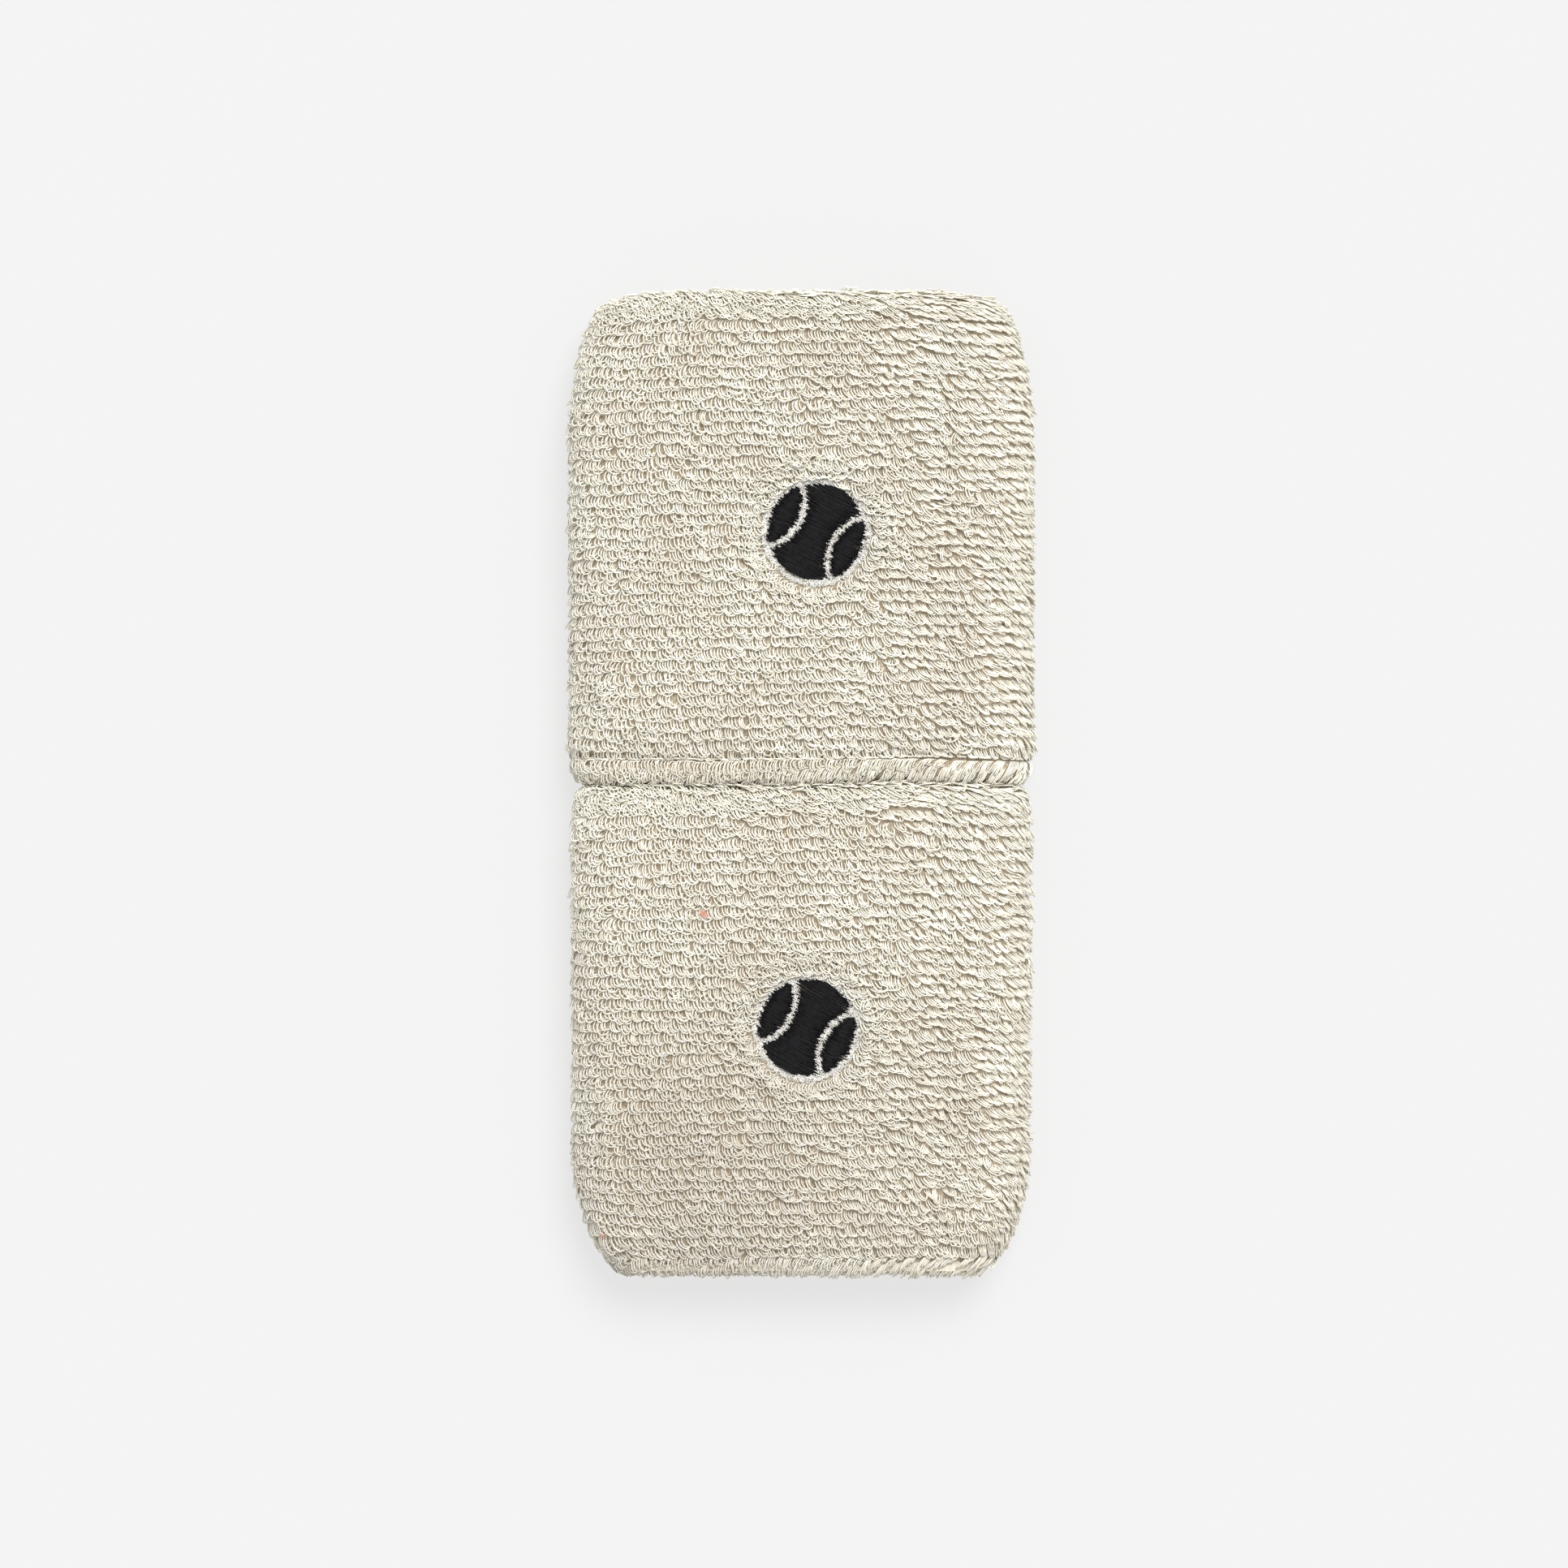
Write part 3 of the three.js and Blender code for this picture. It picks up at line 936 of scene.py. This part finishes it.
def satin_paths(band, field, rng):
    """Parallel stitches that fill a field from edge to edge. Their ends are uneven and dive
    into the cloth."""
    centre, radius, right, up = emblem_frame(band)
    level = np.arange(-radius, radius, SATIN_PITCH) / radius
    uneven = rng.uniform(-SATIN_UNEVENNESS, SATIN_UNEVENNESS, len(level))
    level = level + uneven * SATIN_PITCH / radius
    start, end = field_spans(field, level)
    whole = end - start > SATIN_LEAST * SATIN_PITCH / radius
    level, start, end = level[whole], start[whole] * radius, end[whole] * radius
    start = start - rng.uniform(*SATIN_ENDS, len(start)) * MM
    end = end + rng.uniform(*SATIN_ENDS, len(end)) * MM
    t = np.linspace(0, 1, SATIN_POINTS)[None, :]
    u = start[:, None] + (end - start)[:, None] * t
    skew = SATIN_SKEW * rng.normal(0, 1, (len(level), 1)) * (t - 0.5)
    v = (level * radius)[:, None] + skew
    crown = np.sin(math.pi * t) ** SATIN_CROWN
    top = BAND_HEIGHT - SATIN_TOP - rng.uniform(0, SATIN_SINK, (len(level), 1)) * MM
    z = top - SATIN_DIVE * (1 - crown)
    flat = centre + u[..., None] * right + v[..., None] * up
    return np.concatenate([flat, z[..., None]], -1)


def underlay_paths(band, rng):
    """Short pale stitches every way round the ball and along its seams."""
    centre, radius, right, up = emblem_frame(band)
    count = UNDERLAY_COUNT
    out = (radius + HALO) * np.sqrt(rng.random(count))
    turn = rng.uniform(0, 2 * math.pi, count)
    u, v = out * np.cos(turn), out * np.sin(turn)
    level = v / radius
    covered = np.zeros(count, dtype=bool)
    for field in ("left", "middle", "right"):
        start, end = field_spans(field, np.clip(level, -1, 1))
        inside = (u > start * radius + COVERED_MARGIN) & (u < end * radius - COVERED_MARGIN)
        covered |= inside
    kept = ~(covered & (out < radius - COVERED_MARGIN))
    u, v = u[kept], v[kept]
    angle = rng.uniform(0, math.pi, len(u))
    reach = rng.uniform(*UNDERLAY_REACH, len(u)) * MM
    t = np.linspace(-1, 1, UNDERLAY_POINTS)[None, :]
    bow = rng.normal(0, UNDERLAY_BOW, (len(u), 1)) * MM * (1 - t * t)
    du, dv = np.cos(angle)[:, None], np.sin(angle)[:, None]
    u = u[:, None] + du * reach[:, None] * t - dv * bow
    v = v[:, None] + dv * reach[:, None] * t + du * bow
    top = BAND_HEIGHT - UNDERLAY_TOP - rng.uniform(0, UNDERLAY_SINK, (len(angle), 1)) * MM
    z = top - UNDERLAY_DIVE * t**4
    flat = centre + u[..., None] * right + v[..., None] * up
    return np.concatenate([flat, z[..., None]], -1)


# ------------------------------------------------------------------ operators
def finish_piece(piece, band, slot, *replaced):
    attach(piece, f"{band}_band")
    if replaced:
        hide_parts(*replaced)


class WRISTBAND_OT_ground(bpy.types.Operator):
    """Makes the folded, puffed-up ground cloth of both bands"""

    bl_idname = "wristband.ground"
    bl_label = "Knitted ground"

    def execute(self, context):
        for band in BANDS:
            points = ground_grid(band)
            mesh, _ = closed_mesh(f"{band}_knitted_ground", points)
            mesh.shade_smooth()
            mesh.materials.append(ground_finish())
            piece = bpy.data.objects.new(f"{band}_knitted_ground", mesh)
            context.scene.collection.objects.link(piece)
            wall = piece.modifiers.new("cloth thickness", "SOLIDIFY")
            wall.thickness = CLOTH_THICKNESS
            wall.offset = -1
            finish_piece(piece, band, "terry", f"{band}_terry_tube")
        return {"FINISHED"}


class WRISTBAND_OT_pile(bpy.types.Operator):
    """Sews the looped pile on the ground cloth of both bands"""

    bl_idname = "wristband.pile"
    bl_label = "Terry pile"

    def execute(self, context):
        cloth = context.scene.wristband_cloth
        pitch = cloth.loop_pitch
        top = (-SIDE_COLUMNS / 2, FLAT_COLUMNS + SIDE_COLUMNS / 2)
        sides = {
            "right": (top[1], FLAT_COLUMNS + SIDE_COLUMNS),
            "left": (COLUMNS - SIDE_COLUMNS, top[0] + COLUMNS),
        }
        under = (sides["right"][1], sides["left"][0])
        edge = (top[1], top[0] + COLUMNS)
        for band in BANDS:
            rng = np.random.default_rng(PILE_SEED[band])
            ground = ground_of(band)
            outside, hem, lip = row_ways(band, ground)
            fold_bend = ground.way[ground.fold_end] + ground.bend_length
            shown = outside[outside < fold_bend]
            pieces = {}
            for i, rows in enumerate(np.array_split(shown, TOP_PIECES)):
                paths = pile_rows(band, rows, top, pitch, *TOP_LOOP, rng, at_fold(band))
                pieces[f"{band}_terry_pile_top_{i + 1}"] = paths
            pieces[f"{band}_terry_pile_round_emblem"] = ring_paths(band, rng)
            for side, span in sides.items():
                paths = pile_rows(band, shown, span, pitch, *SIDE_LOOP, rng)
                pieces[f"{band}_terry_pile_side_{side}"] = paths
            apart = HIDDEN_APART * pitch
            paths = pile_rows(band, shown, under, apart, *HIDDEN_LOOP, rng)
            pieces[f"{band}_terry_pile_under"] = paths
            roll = hem[hem > -ground.bend_length * ROLL_SHOWN]
            pieces[f"{band}_terry_pile_hem"] = np.concatenate([
                pile_rows(band, lip, top, LIP_APART * pitch, *LIP_LOOP, rng, on_lip(band)),
                pile_rows(band, roll, top, ROLL_APART * pitch, *ROLL_LOOP, rng, on_roll),
            ])
            under_hem = (edge, UNDER_HEM_APART * pitch, *UNDER_HEM_LOOP, rng)
            pieces[f"{band}_terry_pile_hem_under"] = np.concatenate([
                pile_rows(band, lip, *under_hem, on_lip(band)),
                pile_rows(band, roll, *under_hem, on_roll),
            ])
            lining = np.concatenate([outside[outside >= fold_bend], hem[len(roll):]])
            paths = pile_rows(band, lining, (0, COLUMNS), apart, *HIDDEN_LOOP, rng)
            pieces[f"{band}_terry_pile_lining"] = paths
            for name, paths in pieces.items():
                hidden = "under" in name or "lining" in name
                radius = cloth.strand_radius * (HIDDEN_THICKER if hidden else 1)
                paths[..., 2] = np.maximum(paths[..., 2], radius)
                piece = threads(name, paths, radius, yarn_finish())
                finish_piece(piece, band, "terry")
        return {"FINISHED"}


LINT_SEED = 31
LINT_POINTS = 6
LINT_ABOVE = 1.2 * MM
LINT_SCATTER = 0.12 * MM
LINT_CURL = 0.4


class WRISTBAND_OT_lint(bpy.types.Operator):
    """Drops a few bits of lint on the pile"""

    bl_idname = "wristband.lint"
    bl_label = "Lint"

    def execute(self, context):
        pink = thread_finish(
            "pink_lint", dark=(0.8, 0.36, 0.27), light=(0.9, 0.62, 0.5),
            roughness=0.7, specular=0.3, sheen=0.2,
        )
        dark = thread_finish(
            "dark_fibre", dark=(0.03, 0.03, 0.03), light=(0.06, 0.06, 0.06),
            roughness=0.6, specular=0.3, sheen=0.0,
        )
        rng = np.random.default_rng(LINT_SEED)
        middle = (TUBE["upper"][0].x + TUBE["upper"][1].x) / 2
        # name, band, place across and along, how many strands, their reach, radius and finish
        bits = (
            ("pink_lint_1", "lower", -16.0 * MM, -21.3 * MM, 10, 0.75 * MM, 0.1 * MM, pink),
            ("pink_lint_2", "lower", -32.6 * MM, -74.6 * MM, 9, 0.65 * MM, 0.1 * MM, pink),
            ("dark_fibre", "upper", 1.6 * MM, 78.4 * MM, 2, 0.6 * MM, 0.05 * MM, dark),
        )
        for name, band, x, y, count, reach, radius, finish in bits:
            ground = ground_of(band)
            column, way = ground.locate(middle + x, y)
            place_on_way = ground.place_at(np.array([way]))
            spot = ground.sample(ground.points, np.array([column]), place_on_way)
            t = np.linspace(-1, 1, LINT_POINTS)[None, :, None]
            ahead = unit(rng.normal(0, 1, (count, 1, 3)) * (1, 1, 0.2))
            aside = np.cross(ahead, (0, 0, 1.0))
            curl = rng.normal(0, LINT_CURL, (count, 1, 1)) * (1 - t * t)
            place = spot + rng.normal(0, LINT_SCATTER, (count, 1, 3)) + (0, 0, LINT_ABOVE)
            paths = place + reach * (ahead * t + aside * curl)
            piece = threads(name, paths, radius, finish)
            finish_piece(piece, band, "terry")
        return {"FINISHED"}


class WRISTBAND_OT_embroidery(bpy.types.Operator):
    """Stitches the ball emblem on both bands"""

    bl_idname = "wristband.embroidery"
    bl_label = "Embroidery"

    def execute(self, context):
        black = thread_finish(
            "black_satin_thread", dark=(0.002, 0.0015, 0.002), light=(0.007, 0.006, 0.008),
            roughness=0.6, specular=0.2, sheen=0.0,
        )
        pale = thread_finish(
            "pale_underlay_thread", dark=(0.78, 0.75, 0.68), light=(0.95, 0.94, 0.91),
            roughness=0.6, specular=0.3, sheen=0.1,
        )
        for band in BANDS:
            rng = np.random.default_rng(SATIN_SEED[band])
            paths = underlay_paths(band, rng)
            piece = threads(f"{band}_underlay_stitches", paths, UNDERLAY_RADIUS, pale)
            finish_piece(piece, band, "underlay_thread", f"{band}_underlay_stitching")
            for field in ("left", "middle", "right"):
                paths = satin_paths(band, field, rng)
                piece = threads(f"{band}_satin_stitches_{field}", paths, SATIN_RADIUS, black)
                finish_piece(piece, band, "satin_thread", f"{band}_satin_field_{field}")
        return {"FINISHED"}


class WRISTBAND_OT_inner_parts(bpy.types.Operator):
    """Finishes the parts inside the double wall: elastic, seam thread and backing"""

    bl_idname = "wristband.inner_parts"
    bl_label = "Inner parts"

    def execute(self, context):
        elastic = thread_finish(
            "elastic_yarn", dark=(0.6, 0.57, 0.5), light=(0.75, 0.72, 0.66),
            roughness=0.7, specular=0.3, sheen=0.0,
        )
        seam = thread_finish(
            "seam_thread", dark=(0.62, 0.56, 0.45), light=(0.8, 0.75, 0.63),
            roughness=0.6, specular=0.3, sheen=0.1,
        )
        fleece = thread_finish(
            "backing_fleece", dark=(0.75, 0.75, 0.74), light=(0.86, 0.86, 0.85),
            roughness=0.9, specular=0.2, sheen=0.0,
        )
        finishes = {
            "elastic_yarn": elastic,
            "closing_seam_thread": seam,
            "embroidery_backing": fleece,
        }
        for name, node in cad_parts.items():
            for part, finish in finishes.items():
                if part in name:
                    for slot in node.material_slots:
                        slot.material = finish
        return {"FINISHED"}


FLOOR_HALF_SIZE = 4
KEY_DIRECTION = (0.25, 0.55, 1.0)
KEY_ANGLE = math.radians(30)
SENSOR_WIDTH = 36  # in millimetres
CAMERA_LEFT = 2.9 * MM  # how far left of the bands' middle line the camera stands
CAMERA_ALONG = 0.1 * MM


class WRISTBAND_OT_stage(bpy.types.Operator):
    """Sets the plain floor, the soft light and the camera"""

    bl_idname = "wristband.stage"
    bl_label = "Stage"

    def execute(self, context):
        stage = context.scene.wristband_stage
        scene = context.scene
        floor_mesh = bpy.data.meshes.new("floor")
        bm = bmesh.new()
        bmesh.ops.create_grid(bm, x_segments=1, y_segments=1, size=FLOOR_HALF_SIZE)
        bm.to_mesh(floor_mesh)
        bm.free()
        floor = bpy.data.objects.new("floor", floor_mesh)
        scene.collection.objects.link(floor)
        material, shader = new_finish("pale_floor", roughness=0.9, specular=0.0)
        shader.inputs["Base Color"].default_value = (*stage.floor_colour, 1)
        shader.inputs["Emission Color"].default_value = (1, 1, 1, 1)
        shader.inputs["Emission Strength"].default_value = stage.floor_glow
        floor_mesh.materials.append(material)

        world = bpy.data.worlds.new("soft_sky")
        world.use_nodes = True
        world.node_tree.nodes["Background"].inputs["Strength"].default_value = stage.sky_strength
        world.node_tree.nodes["Background"].inputs["Color"].default_value = (1, 1, 1, 1)
        scene.world = world
        key = bpy.data.lights.new("key", "SUN")
        key.energy = stage.key_strength
        key.angle = KEY_ANGLE
        lamp = bpy.data.objects.new("key", key)
        lamp.rotation_euler = Vector(KEY_DIRECTION).to_track_quat("Z", "Y").to_euler()
        scene.collection.objects.link(lamp)

        lens = bpy.data.cameras.new("camera")
        lens.sensor_width = SENSOR_WIDTH
        distance = stage.camera_height - BAND_HEIGHT
        lens.lens = lens.sensor_width * distance / stage.frame_width
        lens.clip_start, lens.clip_end = 0.01, 10
        camera = bpy.data.objects.new("camera", lens)
        middle = (TUBE["upper"][0] + TUBE["upper"][1]) / 2
        camera.location = (middle.x - CAMERA_LEFT, CAMERA_ALONG, stage.camera_height)
        scene.collection.objects.link(camera)
        scene.camera = camera
        scene.view_settings.view_transform = "Standard"
        return {"FINISHED"}


class WRISTBAND_PT_panel(bpy.types.Panel):
    """Lists the steps that build the pair"""

    bl_idname = "WRISTBAND_PT_panel"
    bl_label = "Wristbands"
    bl_space_type = "VIEW_3D"
    bl_region_type = "UI"
    bl_category = "Wristbands"

    def draw(self, context):
        for settings in (context.scene.wristband_cloth, context.scene.wristband_stage):
            for name in settings.__annotations__:
                self.layout.prop(settings, name)
        for operator in OPERATORS:
            self.layout.operator(operator.bl_idname)


OPERATORS = (
    WRISTBAND_OT_ground,
    WRISTBAND_OT_pile,
    WRISTBAND_OT_lint,
    WRISTBAND_OT_embroidery,
    WRISTBAND_OT_inner_parts,
    WRISTBAND_OT_stage,
)
CLASSES = (ClothSettings, StageSettings, *OPERATORS, WRISTBAND_PT_panel)


def register():
    for cls in CLASSES:
        bpy.utils.register_class(cls)
    bpy.types.Scene.wristband_cloth = bpy.props.PointerProperty(type=ClothSettings)
    bpy.types.Scene.wristband_stage = bpy.props.PointerProperty(type=StageSettings)


def unregister():
    del bpy.types.Scene.wristband_stage
    del bpy.types.Scene.wristband_cloth
    for cls in reversed(CLASSES):
        bpy.utils.unregister_class(cls)


def main():
    register()
    bpy.ops.wristband.ground()
    bpy.ops.wristband.pile()
    bpy.ops.wristband.lint()
    bpy.ops.wristband.embroidery()
    bpy.ops.wristband.inner_parts()
    bpy.ops.wristband.stage()


if __name__ == "__main__":
    main()
